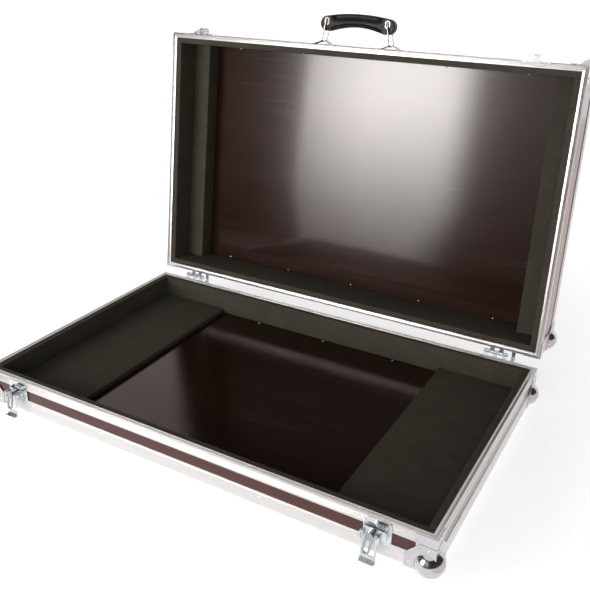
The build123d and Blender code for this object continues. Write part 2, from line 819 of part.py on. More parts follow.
def build_base(places):
    """The lower shell with its foam, hinges and latches."""
    pieces = {}
    for name, piece in shell("base", "bottom", base_height, True).items():
        pieces[name] = to_base(piece)
    floor = rim_z - base_height + metal + panel
    x1 = half_width - inner_face
    y0 = -case_depth + inner_face
    for name, side in (("left", -1), ("right", 1)):
        rest = block(side * x1, side * (x1 - rest_width), y0, -inner_face, floor, floor + rest_thickness)
        pieces["keyboard_rest_" + name] = rest
    bare = x1 - rest_width - tail_radius
    heads = [to_base(head) for head in edge_rivets(base_height, -bare, bare) + corner_rivets(base_height)]
    for name, hinge, latch in zip(("left", "right"), places["hinges"], places["latches"]):
        pieces["hinge_base_leaf_" + name] = hinge * base_leaf()
        pieces["hinge_pin_" + name] = hinge * hinge_pin()
        pieces["latch_plate_" + name] = latch * latch_plate()
        pieces["latch_spring_" + name] = latch * latch_spring()
        pieces["latch_key_" + name] = latch * latch_key()
        pieces["latch_draw_" + name] = latch * latch_draw()
        pieces["latch_hook_" + name] = latch * latch_hook()
        heads += [latch * head for head in latch_rivets()]
        heads += [to_base(Pos(hinge.position.X, 0, 0) * head) for head in leaf_rivets(-1)]
    pieces["base_rivets"] = group(heads)
    return pieces


def build_lid(places):
    """The upper shell with its foam, keepers, hinge leaves and handle, closed."""
    pieces = {}
    raise_lid = Pos(0, 0, lid_z)
    for name, piece in shell("lid", "top", lid_height, False).items():
        pieces[name] = raise_lid * piece
    ceiling = lid_z + lid_height - metal - panel
    x1 = half_width - inner_face
    y0 = -case_depth + inner_face
    for name, side in (("left", -1), ("right", 1)):
        bar = block(side * x1, side * (x1 - bar_width), y0, -inner_face, ceiling - bar_thickness, ceiling)
        pieces["lid_foam_bar_" + name] = bar
    bare = x1 - bar_width - tail_radius
    heads = [raise_lid * head for head in edge_rivets(lid_height, -bare, bare) + corner_rivets(lid_height)]
    for name, hinge, latch in zip(("left", "right"), places["hinges"], places["keepers"]):
        pieces["hinge_lid_leaf_" + name] = hinge * lid_leaf()
        pieces["keeper_" + name] = latch * keeper()
        heads += [latch * head for head in keeper_rivets()]
        for head in leaf_rivets(1):
            heads.append(Pos(hinge.position.X, 0, pivot_z) * head)
    handle = places["handle"]
    for name, side in (("left", -1), ("right", 1)):
        foot = handle * Pos(side * foot_pitch / 2, 0, 0)
        pieces["handle_clip_" + name] = foot * handle_clip()
        pieces["handle_ring_" + name] = foot * Pos(0, foot_out, 0) * handle_ring(side)
        heads += [foot * head for head in clip_rivets()]
    pieces["handle_grip"] = handle * handle_grip()
    pieces["handle_eyelets"] = group([handle * eyelet(side) for side in (-1, 1)])
    pieces["lid_rivets"] = group(heads)
    return pieces


def build_all():
    """Every node, standing on z = 0 with the middle of its box over the origin."""
    places = fitting_places()
    pieces = build_base(places)
    for name, piece in build_lid(places).items():
        pieces[name] = opened(piece)
    box = group(pieces.values()).bounding_box()
    shift = Vector(-box.center().X, -box.center().Y, -box.min.Z)
    return {name: Pos(*shift) * piece for name, piece in pieces.items()}, shift


if __name__ == "__main__":
    os.makedirs("parts", exist_ok=True)
    nodes, shift = build_all()
    for name, node in nodes.items():
        export_step(group([node]), os.path.join("parts", name + ".step"))
    print("nodes", len(nodes), "shift", [round(value, 3) for value in shift])
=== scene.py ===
# %% [markdown]
# # A keyboard case with its lid open
# This lesson dresses a finished model of a keyboard flight case. The model comes in as a fixed frame of
# separate pieces, each in its real place, and nothing here moves them. What we add is what a drawing of the
# parts leaves out: the pores of the foam, the drawn lines of the aluminium, the gloss of the filmed board
# and the light of a photo studio.

import json
import math

import bmesh
import bpy
import numpy as np
from mathutils import Matrix, Vector


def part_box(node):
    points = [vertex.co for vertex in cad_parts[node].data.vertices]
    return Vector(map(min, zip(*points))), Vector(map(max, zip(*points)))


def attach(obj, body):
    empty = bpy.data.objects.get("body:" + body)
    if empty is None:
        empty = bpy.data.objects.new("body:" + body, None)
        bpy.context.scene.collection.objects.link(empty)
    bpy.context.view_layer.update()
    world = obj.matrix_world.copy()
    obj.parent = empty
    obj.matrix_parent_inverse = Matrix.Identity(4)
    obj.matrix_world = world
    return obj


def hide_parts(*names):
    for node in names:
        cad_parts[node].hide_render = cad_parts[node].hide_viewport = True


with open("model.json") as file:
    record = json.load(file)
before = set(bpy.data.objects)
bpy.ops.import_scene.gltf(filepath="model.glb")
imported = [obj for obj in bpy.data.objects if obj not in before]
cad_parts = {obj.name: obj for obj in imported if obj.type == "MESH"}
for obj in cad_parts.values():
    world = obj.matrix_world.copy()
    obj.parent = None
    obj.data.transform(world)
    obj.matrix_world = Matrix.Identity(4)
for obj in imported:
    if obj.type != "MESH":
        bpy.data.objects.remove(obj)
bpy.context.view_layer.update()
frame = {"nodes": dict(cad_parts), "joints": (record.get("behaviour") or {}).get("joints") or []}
nodes = frame["nodes"]
print("pieces in the model:", len(nodes))

# %% [markdown]
# ## The camera
# A product photo keeps its proportions only if the camera stands where the real one stood. The angles, the
# distance and the focal length below were worked out from the inner corners of both rims, which are two
# rectangles of known shape. The small roll is the photographer's, and the shift moves the picture on the
# film without tilting the camera.

# %% Place the camera
azimuth = math.radians(30.13)
elevation = math.radians(21.62)
roll = math.radians(0.726)
camera_place = (0.68722, -1.19806, 0.82608)
reach = math.cos(elevation)
backward = Vector((math.sin(azimuth) * reach, -math.cos(azimuth) * reach, math.sin(elevation)))
level = backward.cross(Vector((0, 0, 1))).normalized() * -1
upright = backward.cross(level)
right = level * math.cos(roll) + upright * math.sin(roll)
up = upright * math.cos(roll) - level * math.sin(roll)
camera_data = bpy.data.cameras.new("camera")
camera_data.lens = 48.27
camera_data.shift_x = 0.0227
camera_data.shift_y = -0.0699
camera = bpy.data.objects.new("camera", camera_data)
bpy.context.scene.collection.objects.link(camera)
camera_turn = Matrix((right, up, backward)).transposed().to_4x4()
camera.matrix_world = Matrix.Translation(camera_place) @ camera_turn
bpy.context.scene.camera = camera
print("camera looks along", [round(v, 3) for v in -backward])

# %% [markdown]
# ## Where things are
# The case is easiest to describe as its makers would: how far in from an outer face, and how deep from the
# rim. Both shells use those two measures. The base has its depth downward. The lid is described closed, on
# top of the base, and is then swung open about the hinge line, which is where the model has it.

# %% Read the case's main sizes from the model
rim_low, rim_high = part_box("base_closing_profiles")
half_width = rim_high.x
rear_y = rim_high.y
front_y = rim_low.y
rim_z = rim_high.z
hinge = next(joint for joint in frame["joints"] if joint["name"] == "lid_hinge")
hinge_line = np.array(hinge["pos_m"])
open_turn = -math.radians(hinge["range_deg"][1])
rim_gap = 0.0005
lid_z = rim_z + rim_gap
base_height = rim_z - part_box("base_edge_angles")[0].z
lid_height = 0.102
case_depth = rear_y - front_y
print("case", round(2 * half_width, 4), "by", round(case_depth, 4), "base height", round(base_height, 4))


def in_base(points):
    """Puts shell points (x, y, depth) in the base: the depth is counted down from its rim."""
    return points * (1, 1, -1) + (0, 0, rim_z)


def in_lid(points):
    """Puts shell points (x, y, depth) in the open lid: laid over the base, then turned about the hinge."""
    closed = points + (0, 0, lid_z) - hinge_line
    c, s = math.cos(open_turn), math.sin(open_turn)
    y = closed[..., 1] * c - closed[..., 2] * s
    z = closed[..., 1] * s + closed[..., 2] * c
    return np.stack([closed[..., 0], y, z], axis=-1) + hinge_line


def out_of_lid(points):
    """Takes row points of the open lid back to shell points, the other way round."""
    moved = points - hinge_line
    c, s = math.cos(-open_turn), math.sin(-open_turn)
    y = moved[..., 1] * c - moved[..., 2] * s
    z = moved[..., 1] * s + moved[..., 2] * c
    return np.stack([moved[..., 0], y, z], axis=-1) + hinge_line - (0, 0, lid_z)


def node_points(name):
    """The corner points of a model piece, one row each."""
    return np.array([vertex.co for vertex in nodes[name].data.vertices], float)


def lid_box(name):
    """The lowest and the highest shell measures of a model piece on the lid."""
    points = out_of_lid(node_points(name))
    return points.min(axis=0), points.max(axis=0)


# %% [markdown]
# ## Materials as small node trees
# Every finish below starts from the Principled shader. A few helpers keep the trees readable: one makes the
# material, one adds a node with its settings, and one gives a bump. All patterns read object coordinates or
# a piece's own UV map, in metres, so a pore is as large on a small piece as on a big one.

# %% Helpers for node trees
def new_finish(name, colour, roughness, metallic=0.0):
    """A material and its Principled shader, with the numbers that are the same all over."""
    material = bpy.data.materials.new(name)
    material.use_nodes = True
    shader = material.node_tree.nodes["Principled BSDF"]
    shader.inputs["Base Color"].default_value = (*colour, 1)
    shader.inputs["Roughness"].default_value = roughness
    shader.inputs["Metallic"].default_value = metallic
    return material, shader


def add(material, kind, links=(), **settings):
    """Adds a node, sets its properties, and links or sets its inputs."""
    node = material.node_tree.nodes.new(kind)
    for key, value in settings.items():
        setattr(node, key, value)
    for socket, value in dict(links).items():
        if isinstance(value, bpy.types.NodeSocket):
            material.node_tree.links.new(value, node.inputs[socket])
        else:
            node.inputs[socket].default_value = value
    return node


def pattern_space(material, scale, output="Object"):
    """Coordinates in metres, stretched by a scale in each direction."""
    place = add(material, "ShaderNodeTexCoord")
    return add(material, "ShaderNodeMapping", {"Vector": place.outputs[output], "Scale": scale}).outputs[0]


def noise(material, space, scale, detail=2.0, roughness=0.5):
    """Soft noise with a value about 0.5."""
    links = {"Vector": space, "Scale": scale, "Detail": detail, "Roughness": roughness}
    return add(material, "ShaderNodeTexNoise", links).outputs[0]


def ramp(material, value, low, high, to_low=0.0, to_high=1.0):
    """Stretches the part of a value between low and high to a new range."""
    links = {"Value": value, "From Min": low, "From Max": high, "To Min": to_low, "To Max": to_high}
    return add(material, "ShaderNodeMapRange", links).outputs[0]


def blend_colours(material, share, first, second):
    """Mixes two colours, each a colour or a socket."""
    mix = add(material, "ShaderNodeMix", data_type="RGBA")
    links = material.node_tree.links
    for socket, value in ((mix.inputs[0], share), (mix.inputs[6], first), (mix.inputs[7], second)):
        if isinstance(value, bpy.types.NodeSocket):
            links.new(value, socket)
        else:
            socket.default_value = value if isinstance(value, float) else (*value, 1)
    return mix.outputs[2]


def multiply(material, first, *others):
    """Two or more values multiplied."""
    for other in others:
        first = add(material, "ShaderNodeMath", {0: first, 1: other}, operation="MULTIPLY").outputs[0]
    return first


def feed(material, shader, socket, value):
    """Links a socket of the shader."""
    material.node_tree.links.new(value, shader.inputs[socket])


def bump(material, shader, height, distance, strength=1.0, under=None):
    """A bump of so many metres, on top of another bump if one is given."""
    links = {"Height": height, "Distance": distance, "Strength": strength}
    if under is not None:
        links["Normal"] = under
    node = add(material, "ShaderNodeBump", links)
    feed(material, shader, "Normal", node.outputs[0])
    return node.outputs[0]


# %% [markdown]
# ## The filmed board
# The panels are birch plywood with a dark red-brown phenolic film pressed on. The film is glossy, yet the
# grain of the veneer below still shows: it draws every reflection out across the grain. One roughness can't
# do both, so the shader has two layers. The base is a little rough, with a very fine streaky bump along the
# grain. Over it lies a clear coat, which is nearly a mirror and only ripples. Pale rub marks from transport
# run along the grain too. All boards carry one film, painted in three shades. The outer walls' film has less
# coat, and its colour is painted lighter and redder for the softbox light that falls on them. The base's
# floor is painted darker for the shade inside the base; it has no clear coat at all, and its own gloss is
# tinted brown.

# %% Filmed board
rubbed_film = (0.13, 0.085, 0.07)


def filmed(name, dark, light, rub, coat, rough, level, tint=(1.0, 1.0, 1.0)):
    """Film whose colour wanders between dark and light along the grain. Rub is the strength of its rub marks,
    coat the weight of its clear coat, and rough, level and tint belong to the base layer's own gloss."""
    average = tuple((a + b) / 2 for a, b in zip(dark, light))
    material, shader = new_finish(name, average, 0.15)
    shader.inputs["Specular IOR Level"].default_value = level
    shader.inputs["Specular Tint"].default_value = (*tint, 1)
    shader.inputs["Coat Weight"].default_value = coat
    shader.inputs["Coat Roughness"].default_value = 0.085
    shader.inputs["Coat IOR"].default_value = 1.45
    grain = noise(material, pattern_space(material, (1.4, 26, 26)), 6.0, 5.0, 0.62)
    streaks = noise(material, pattern_space(material, (6, 420, 420)), 4.0, 2.0, 0.5)
    wander = noise(material, pattern_space(material, (1, 1, 1)), 5.0, 3.0)
    scratches = noise(material, pattern_space(material, (1.2, 34, 34)), 2.6, 3.0, 0.7)
    places = noise(material, pattern_space(material, (1, 1.7, 1.7)), 2.3, 1.0)
    marks = multiply(material, ramp(material, scratches, 0.50, 0.74), ramp(material, places, 0.42, 0.60), rub)
    colour = blend_colours(material, ramp(material, grain, 0.3, 0.7), dark, light)
    colour = blend_colours(material, marks, colour, rubbed_film)
    feed(material, shader, "Base Color", colour)
    feed(material, shader, "Roughness", ramp(material, wander, 0.3, 0.7, rough, 1.3 * rough))
    bump(material, shader, streaks, 0.00012, 0.5)
    ripples = add(material, "ShaderNodeBump", {"Height": grain, "Distance": 0.0001, "Strength": 0.16})
    feed(material, shader, "Coat Normal", ripples.outputs[0])
    return material


dark, light = (0.019, 0.0072, 0.0044), (0.028, 0.0108, 0.0068)
film_board = filmed("film_board", dark, light, rub=0.14, coat=1.0, rough=0.13, level=0.32)
# The base's floor: the same film, painted darker for the shade inside the base.
dark, light, brown = (0.014, 0.0066, 0.0040), (0.020, 0.0092, 0.0057), (1.0, 0.58, 0.42)
shaded_floor_board = filmed("shaded_floor_board", dark, light, rub=0.12, coat=0.0, rough=0.11, level=0.42, tint=brown)
# The outer walls: the same film, painted lighter and redder for the softbox light that falls on them.
dark, light, red = (0.038, 0.0105, 0.0082), (0.050, 0.0148, 0.0116), (1.0, 0.45, 0.4)
lit_wall_board = filmed("lit_wall_board", dark, light, rub=0.25, coat=0.45, rough=0.15, level=0.6, tint=red)
for board in (film_board, shaded_floor_board, lit_wall_board):
    print(board.name, len(board.node_tree.nodes), "nodes")

# %% [markdown]
# ## Drawn aluminium
# The profiles are pressed through a die and anodised. The die leaves very fine lines along the length, and
# the skin is satin, not mirror. The pieces made below carry a UV map with the length along U and the way
# round the section along V, so the lines are a noise that changes only with V.

# %% Drawn aluminium
aluminium, aluminium_shader = new_finish("drawn_aluminium", (0.72, 0.715, 0.705), 0.3, 1.0)
lines_per_metre = 2600
line_space = pattern_space(aluminium, (1.5, lines_per_metre, 1), "UV")
lines = noise(aluminium, line_space, 1.0, 3.0, 0.6)
tarnish = noise(aluminium, pattern_space(aluminium, (1, 1, 1)), 9.0, 4.0)
feed(aluminium, aluminium_shader, "Roughness", ramp(aluminium, tarnish, 0.3, 0.7, 0.29, 0.42))
line_dark, line_light = (0.66, 0.645, 0.635), (0.77, 0.755, 0.745)
line_colour = blend_colours(aluminium, ramp(aluminium, lines, 0.3, 0.7), line_dark, line_light)
feed(aluminium, aluminium_shader, "Base Color", line_colour)
bump(aluminium, aluminium_shader, lines, 0.00003, 0.3)
print(aluminium.name, "has lines", round(1000 / lines_per_metre, 2), "mm apart on average")

# %% [markdown]
# ## Plated steel
# Corners, braces and latches are pressed steel with a bright zinc plating. It is a mirror with a faint
# orange peel and a little haze where hands and floors have touched it. The rivets, the eyelets and the
# handle's clips are the same idea with another tint and gloss, so one function makes them all.

# %% Plated metals
def plated(name, colour, smooth, hazy, peel):
    """A plated metal: its roughness wanders between two values and its skin has a slight orange peel."""
    material, shader = new_finish(name, colour, smooth, 1.0)
    haze = noise(material, pattern_space(material, (1, 1, 1)), 38.0, 4.0, 0.6)
    feed(material, shader, "Roughness", ramp(material, haze, 0.35, 0.7, smooth, hazy))
    darker = tuple(0.86 * channel for channel in colour)
    tone = blend_colours(material, ramp(material, haze, 0.4, 0.75), colour, darker)
    feed(material, shader, "Base Color", tone)
    skin = noise(material, pattern_space(material, (1, 1, 1)), 420.0, 2.0)
    bump(material, shader, skin, peel, 0.4)
    return material


bright_zinc = plated("bright_zinc", (0.62, 0.605, 0.63), 0.12, 0.24, 0.00005)
latch_steel = plated("latch_steel", (0.70, 0.74, 0.76), 0.16, 0.32, 0.00006)
key_steel = plated("key_steel", (0.38, 0.41, 0.43), 0.16, 0.30, 0.00005)
# The clips' dark colour is partly the steel's own tone and partly painted shade, for the shade under each
# strap's arch.
shaded_clip_steel = plated("shaded_clip_steel", (0.26, 0.215, 0.215), 0.30, 0.44, 0.00004)
rivet_skin = plated("rivet_skin", (0.90, 0.90, 0.90), 0.32, 0.45, 0.00003)
spring_steel = plated("spring_steel", (0.55, 0.56, 0.58), 0.18, 0.34, 0.00003)
nickel = plated("nickel", (0.17, 0.15, 0.145), 0.2, 0.3, 0.00003)
metals = (bright_zinc, latch_steel, key_steel, shaded_clip_steel, rivet_skin, spring_steel, nickel)
print("plated metals:", *(finish.name for finish in metals))

# %% [markdown]
# ## Foam
# The linings are closed-cell foam, sawn from a block. The saw opens the cells, so the skin is a fine
# pattern of pits, dull and nearly black, a shade warmer than grey. The pits are a Voronoi pattern of about a
# millimetre, with a slower noise for the places that have been pressed.

# %% Foam
foam, foam_shader = new_finish("cell_foam", (0.055, 0.05, 0.038), 0.7)
foam_shader.inputs["Specular IOR Level"].default_value = 0.08
foam_space = pattern_space(foam, (1, 1, 1))
cell_scale = 900.0
cell_pattern = add(foam, "ShaderNodeTexVoronoi", {"Vector": foam_space, "Scale": cell_scale}, feature="F1")
cells = cell_pattern.outputs["Distance"]
pressed = noise(foam, foam_space, 26.0, 4.0, 0.6)
# Each pit is painted darker toward its bottom: a painted shade for the shade inside the pit.
pit_shade, pit_light, pressed_light = (0.032, 0.0275, 0.0205), (0.074, 0.064, 0.048), (0.095, 0.087, 0.069)
shaded_pit_colour = blend_colours(foam, ramp(foam, cells, 0.1, 0.75), pit_shade, pit_light)
pressed_share = multiply(foam, ramp(foam, pressed, 0.4, 0.75), 0.35)
feed(foam, foam_shader, "Base Color", blend_colours(foam, pressed_share, shaded_pit_colour, pressed_light))
bump(foam, foam_shader, pressed, 0.0012, 0.25, bump(foam, foam_shader, cells, 0.0005, 0.6))
print(foam.name, "has cells about", round(1000 / cell_scale, 2), "mm wide")

# %% [markdown]
# ## Moulded handle plastic
# The grip is a black moulding with a fine eroded texture, slightly polished where the hand goes.

# %% Grip plastic
grip_plastic, grip_shader = new_finish("grip_plastic", (0.006, 0.0056, 0.005), 0.36)
grip_shader.inputs["Specular IOR Level"].default_value = 0.2
texture_space = pattern_space(grip_plastic, (1, 1, 1))
erosion = noise(grip_plastic, texture_space, 900.0, 3.0)
polish = noise(grip_plastic, texture_space, 30.0, 2.0)
feed(grip_plastic, grip_shader, "Roughness", ramp(grip_plastic, polish, 0.3, 0.7, 0.3, 0.48))
black, worn = (0.0045, 0.0042, 0.0037), (0.0085, 0.0079, 0.007)
grip_colour = blend_colours(grip_plastic, ramp(grip_plastic, erosion, 0.3, 0.7), black, worn)
feed(grip_plastic, grip_shader, "Base Color", grip_colour)
bump(grip_plastic, grip_shader, erosion, 0.00012, 0.5)
print(grip_plastic.name, "has", len(grip_plastic.node_tree.nodes), "nodes")

# %% [markdown]
# ## Give each model piece its finish
# A model piece keeps its shape and gets a material. The start of its name says what it is made of.

# %% Finish the model's own pieces
finishes = {
    "base_rivets": rivet_skin,
    "lid_rivets": rivet_skin,
    "hinge_": latch_steel,
    "latch_spring": spring_steel,
    "latch_key": key_steel,
    "latch_": latch_steel,
    "keeper_": latch_steel,
    "handle_grip": grip_plastic,
    "handle_eyelets": nickel,
    "handle_clip": shaded_clip_steel,
    "handle_": bright_zinc,
}
endings = {
    "top_panel": film_board,
    "bottom_panel": shaded_floor_board,
    "panel": lit_wall_board,
    "profiles": aluminium,
    "edge_angles": aluminium,
    "corner_angles": aluminium,
    "ball_corners": bright_zinc,
    "corner_braces": bright_zinc,
}
for name, node in nodes.items():
    chosen = next((finish for ending, finish in endings.items() if name.endswith(ending)), None)
    chosen = chosen or next((finish for start, finish in finishes.items() if name.startswith(start)), foam)
    node.data.materials.clear()
    node.data.materials.append(chosen)
print("finished", len(nodes), "model pieces")

# %% [markdown]
# ## Surfaces as grids
# Every new piece is a grid of points: the first count goes along the piece, the second round its section.
# The helper below closes each ring, closes both ends, writes UVs in metres and has Blender turn all faces
# outward. Several grids can share one object, as the four lengths of a frame do.

# %% Turn grids into pieces
def grid_faces(rings, start):
    """Four-sided faces between neighbouring rings, each ring closed, as vertex numbers counted from start."""
    rows, columns = rings.shape[:2]
    index = start + np.arange(rows * columns).reshape(rows, columns)
    after = np.roll(index, -1, axis=1)
    return index, np.stack([index[:-1], after[:-1], after[1:], index[1:]], axis=-1).reshape(-1, 4)


def grid_uvs(rings):
    """The length along the rings and the way round each ring, in metres, for every face corner."""
    steps = np.linalg.norm(np.diff(rings, axis=0), axis=-1).mean(axis=1)
    along = np.concatenate([[0], np.cumsum(steps)])
    turns = np.linalg.norm(np.roll(rings, -1, axis=1) - rings, axis=-1).mean(axis=0)
    around = np.concatenate([[0], np.cumsum(turns)])
    u0, v0 = np.meshgrid(along[:-1], around[:-1], indexing="ij")
    u1, v1 = np.meshgrid(along[1:], around[1:], indexing="ij")
    corners = [np.stack(pair, axis=-1) for pair in ((u0, v0), (u0, v1), (u1, v1), (u1, v0))]
    return np.stack(corners, axis=2).reshape(-1, 2)


def make_piece(name, grids, material, body, stands_for=(), sharp=35.0):
    """One object from closed grids: its ends are capped, its faces point outward, and it rides on a body."""
    faces, uvs, start = [], [], 0
    for rings in grids:
        index, quads = grid_faces(rings, start)
        faces += quads.tolist() + [index[0].tolist(), index[-1].tolist()]
        cap = np.stack([np.zeros(rings.shape[1]), np.linspace(0, 0.01, rings.shape[1])], axis=-1)
        uvs += [grid_uvs(rings), cap, cap]
        start += index.size
    mesh = bpy.data.meshes.new(name)
    mesh.from_pydata(np.concatenate([rings.reshape(-1, 3) for rings in grids]).tolist(), [], faces)
    mesh.uv_layers.new(name="section").data.foreach_set("uv", np.concatenate(uvs).astype(np.float32).ravel())
    work = bmesh.new()
    work.from_mesh(mesh)
    bmesh.ops.recalc_face_normals(work, faces=work.faces)
    work.to_mesh(mesh)
    work.free()
    mesh.shade_smooth()
    mesh.set_sharp_from_angle(angle=math.radians(sharp))
    mesh.materials.append(material)
    piece = bpy.data.objects.new(name, mesh)
    bpy.context.scene.collection.objects.link(piece)
    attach(piece, body)
    if stands_for:
        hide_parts(*stands_for)
    return piece


# %% [markdown]
# ## The aluminium profiles
# Three kinds of profile hold the boards: the closing profile round each rim, the angle along the edges of
# the closed face, and a short upright angle in each corner. They could be extruded from a drawn curve, but a
# profile is only an outline that travels, so arrays do it in a few lines. The outline is a list of corners
# measured in from the outer face and down from the rim. Each corner is softened by a small curve, because a
# die has no sharp corners and light needs an edge to catch on. The ends are mitred by letting every point of
# the outline stop at its own distance from the case's corner.
#
# The closing profile has a long leg on the outside, a short leg inside and a roof between them, under the
# groove or tongue that meets the other shell.

# %% Outlines of the profiles
def soften(outline, radius, steps=3):
    """Each corner P becomes the curve (1-s)^2 (P + t a) + 2 s (1-s) P + s^2 (P + t b), where a and b point to
    the neighbours and t is the radius or 0.4 of the shorter side, whichever is less."""
    corner = np.array(outline, float)
    back, ahead = np.roll(corner, 1, axis=0) - corner, np.roll(corner, -1, axis=0) - corner
    reach = np.minimum(np.linalg.norm(back, axis=1), np.linalg.norm(ahead, axis=1))
    t = np.minimum(radius, 0.4 * reach)[:, None]
    start = corner + t * back / np.linalg.norm(back, axis=1)[:, None]
    end = corner + t * ahead / np.linalg.norm(ahead, axis=1)[:, None]
    s = np.linspace(0, 1, steps)[None, :, None]
    curve = (1 - s) ** 2 * start[:, None] + 2 * s * (1 - s) * corner[:, None] + s ** 2 * end[:, None]
    return curve.reshape(-1, 2)


def grooved(first, last, depth, places, half):
    """Points down a straight leg face at distance 0, with a small V groove at each place."""
    cuts = [point for at in places for point in ((0, at - half), (depth, at), (0, at + half))]
    return [(0, first), *cuts, (0, last)]


metal, channel_far, rim_width = 0.001, 0.008, 0.009
roof, short_leg, long_leg = 0.0034, 0.012, 0.0175
wall_leg, face_leg, corner_leg = 0.025, 0.028, 0.03

leg = grooved(0, long_leg, depth=0.0008, places=(0.0052, 0.0088, 0.0124), half=0.0008)
inside = [(metal, long_leg), (metal, roof), (channel_far, roof), (channel_far, short_leg)]
inside += [(rim_width, short_leg), (rim_width, 0)]
groove = [(0.0065, 0), (0.0065, 0.0022), (0.0025, 0.0022), (0.0025, 0)]
tongue = [(0.0055, 0), (0.0055, -0.0016), (0.0035, -0.0016), (0.0035, 0)]
die_radius = 0.0005
closing_outlines = {
    "base": soften(leg + inside + groove, die_radius),
    "lid": soften(leg + inside + tongue, die_radius),
}
corner_side = [(0, 0), (0, corner_leg), (metal, corner_leg)]
corner_outline = soften(corner_side + [(metal, metal), (corner_leg, metal), (corner_leg, 0)], 0.0006)
print("closing outline has", len(closing_outlines["base"]), "points")


def edge_outline(height):
    """The angle between wall and closed face, for a shell of that height."""
    top = height - wall_leg
    wall = grooved(top, height, depth=0.0003, places=(height - 0.0225,), half=0.0004)
    foot = [(face_leg, height), (face_leg, height - metal), (metal, height - metal), (metal, top)]
    return soften(wall + foot, 0.0007)


# %% Carry the outlines round the shells
mitre_gap = 0.0002


def frame_lengths(outline):
    """Four lengths round the case. A point that is a metres in from the outer face runs between the two
    corners of a rectangle that is a metres smaller all round, so the ends come out mitred."""
    a, depth = outline[:, 0], outline[:, 1]
    west, east, south, north = a - half_width, half_width - a, front_y + a, rear_y - a
    runs = [((west, south), (east, south)), ((west, north), (east, north))]
    runs += [((side, south + mitre_gap), (side, north - mitre_gap)) for side in (west, east)]
    return [np.stack([np.stack([*end, depth], axis=-1) for end in run]) for run in runs]


def corner_lengths(outline, top, bottom):
    """Four upright lengths, one in each corner of the case, between two depths."""
    a, b = outline[:, 0], outline[:, 1]
    rings = []
    for side in (-1, 1):
        x = side * (half_width - a)
        for y in (front_y + b, rear_y - b):
            ends = [np.stack([x, y, np.full(len(a), depth)], axis=-1) for depth in (top, bottom)]
            rings.append(np.stack(ends))
    return rings


shells = {"base": (in_base, base_height), "lid": (in_lid, lid_height)}
for shell, (place, height) in shells.items():
    parts = {
        "closing_profiles": frame_lengths(closing_outlines[shell]),
        "edge_angles": frame_lengths(edge_outline(height)),
        "corner_angles": corner_lengths(corner_outline, long_leg, height - wall_leg),
    }
    for part, grids in parts.items():
        name = shell + "_" + part
        placed = [place(grid) for grid in grids]
        made = make_piece("drawn_" + name, placed, aluminium, shell, [name])
        print(made.name, len(made.data.polygons), "faces")

# %% [markdown]
# ## The foam linings, bars and rests
# Each lining is a strip sawn from a sheet, glued in with butt joints. It could be a plain box, but a sawn
# strip has softened arrises and is never quite flat, and those two things make it read as foam. The shape is
# a rounded rectangle carried along the strip. At both ends the rectangle draws in along a quarter circle, so
# the end arrises are as soft as the long ones.

# %% Foam strips
def rounded_rectangle(half_a, half_b, radius, steps=5):
    """Points round a rectangle: each corner is a quarter circle about the point one radius inside it."""
    angle = np.linspace(0, math.pi / 2, steps)
    turn = np.arange(4)[:, None] * math.pi / 2 + angle
    centre_a = np.array([1, -1, -1, 1])[:, None] * (half_a - radius)
    centre_b = np.array([1, 1, -1, -1])[:, None] * (half_b - radius)
    corner = np.stack([centre_a + radius * np.cos(turn), centre_b + radius * np.sin(turn)], axis=-1)
    return corner.reshape(-1, 2)


def foam_strip(low, high, radius, wave, seed):
    """A rounded box between two corners. Along its length it draws in at both ends, and its section breathes
    by a small sum of two sines, which is the unevenness of a sawn strip."""
    size = high - low
    middle = (low + high) / 2
    long_axis, wide_axis, thin_axis = np.argsort(-size)
    half = size / 2
    turn = np.linspace(math.pi / 2, 0, 6)[:-1]
    step = radius * (1 - np.sin(turn))
    inset = radius * (1 - np.cos(turn))
    inner = np.linspace(-1, 1, 70) * (half[long_axis] - radius)
    at = np.concatenate([-half[long_axis] + step, inner, (half[long_axis] - step)[::-1]])
    draw = np.concatenate([inset, np.zeros(len(inner)), inset[::-1]])
    breathe = wave * (np.sin(at * 23.0 + seed) + 0.6 * np.sin(at * 61.0 + 2.3 * seed)) / 1.6 - wave
    wide, thin = half[wide_axis] - draw, half[thin_axis] - draw + breathe
    corner_radius = np.maximum(radius - draw, radius * 0.05)
    sections = np.stack([rounded_rectangle(*shape) for shape in zip(wide, thin, corner_radius)])
    points = np.zeros((*sections.shape[:2], 3))
    points[..., long_axis] = at[:, None]
    points[..., wide_axis] = sections[..., 0]
    points[..., thin_axis] = sections[..., 1]
    return points + middle


def add_foam(name, seed, radius=0.0016, wave=0.0002):
    """Radius is that of its arrises, and wave is how far its faces stray."""
    body = "base" if name.startswith(("base", "keyboard")) else "lid"
    corners = node_points(name)
    if body == "lid":
        corners = out_of_lid(corners)
    rings = foam_strip(corners.min(axis=0), corners.max(axis=0), radius, wave, seed)
    if body == "lid":
        rings = in_lid(rings)
    piece = make_piece("soft_" + name, [rings], foam, body, [name], sharp=80.0)
    return piece


soft_nodes = sorted(name for name in nodes if "foam" in name or "rest" in name)
for seed, name in enumerate(soft_nodes):
    piece = add_foam(name, float(seed))
    print(piece.name, len(piece.data.vertices), "points")

# %% [markdown]
# ## The moulded grip
# The grip is one moulding: an arched band for the palm, a thin web below it, a lip along the bottom and a
# round lobe at each end for the ring. A moulder draws it as one soft skin, so boxes joined together would
# look wrong. Here it is a surface on a grid: the first direction runs from lobe to lobe and the second round
# the section. Its thickness follows from how far a point is in from the outline, which rounds all edges.

# %% Shape of the grip
def smooth_step(value, low, high):
    """s squared times (3 - 2s), where s goes from 0 at low to 1 at high."""
    s = np.clip((value - low) / (high - low), 0, 1)
    return s * s * (3 - 2 * s)


def arc_height(u, half, end, middle):
    """Height at u of the circle arc through (-half, end), (0, middle) and (half, end)."""
    rise = middle - end
    radius = (half ** 2 + rise ** 2) / (2 * rise)
    return middle - radius + np.sqrt(np.clip(radius ** 2 - u ** 2, 0, None))


